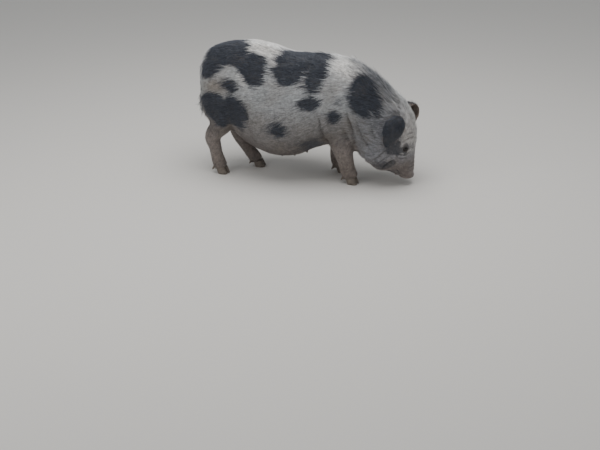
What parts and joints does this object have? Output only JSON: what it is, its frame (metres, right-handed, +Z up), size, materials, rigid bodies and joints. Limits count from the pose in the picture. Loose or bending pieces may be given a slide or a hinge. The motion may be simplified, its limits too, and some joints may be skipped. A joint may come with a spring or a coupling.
{
  "type": "standing spotted pig model",
  "caption": "Life-size still model of a spotted sow that stands on all four feet with her neck and head lowered to the ground.",
  "frame": {"origin": "centre of the bounding box in plan, on the floor that her soles rest on", "axes": "+X the way she faces, +Y to her left, +Z up"},
  "size_m": [0.9536, 0.4274, 0.5767],
  "materials": {
    "hide": "bristly hide, grey-white with blue-black patches",
    "ear": "thin dark hide with short bristles",
    "tail": "dark hide with a switch of bristles",
    "eye": "wet dark brown eyeball",
    "horn": "dry grey-brown horn, dusty"
  },
  "bodies": {
    "root": {"torso": "hide", "neck": "hide", "head": "hide", "leg_hind_right": "hide", "leg_hind_left": "hide", "leg_fore_right": "hide", "leg_fore_left": "hide", "ear_right": "ear", "ear_left": "ear", "tail": "tail", "eye_right": "eye", "eye_left": "eye", "hoof_hind_right_a": "horn", "dewclaw_hind_right_a": "horn", "hoof_hind_right_b": "horn", "dewclaw_hind_right_b": "horn", "hoof_hind_left_a": "horn", "dewclaw_hind_left_a": "horn", "hoof_hind_left_b": "horn", "dewclaw_hind_left_b": "horn", "hoof_fore_right_a": "horn", "dewclaw_fore_right_a": "horn", "hoof_fore_right_b": "horn", "dewclaw_fore_right_b": "horn", "hoof_fore_left_a": "horn", "dewclaw_fore_left_a": "horn", "hoof_fore_left_b": "horn", "dewclaw_fore_left_b": "horn"}
  },
  "joints": []
}
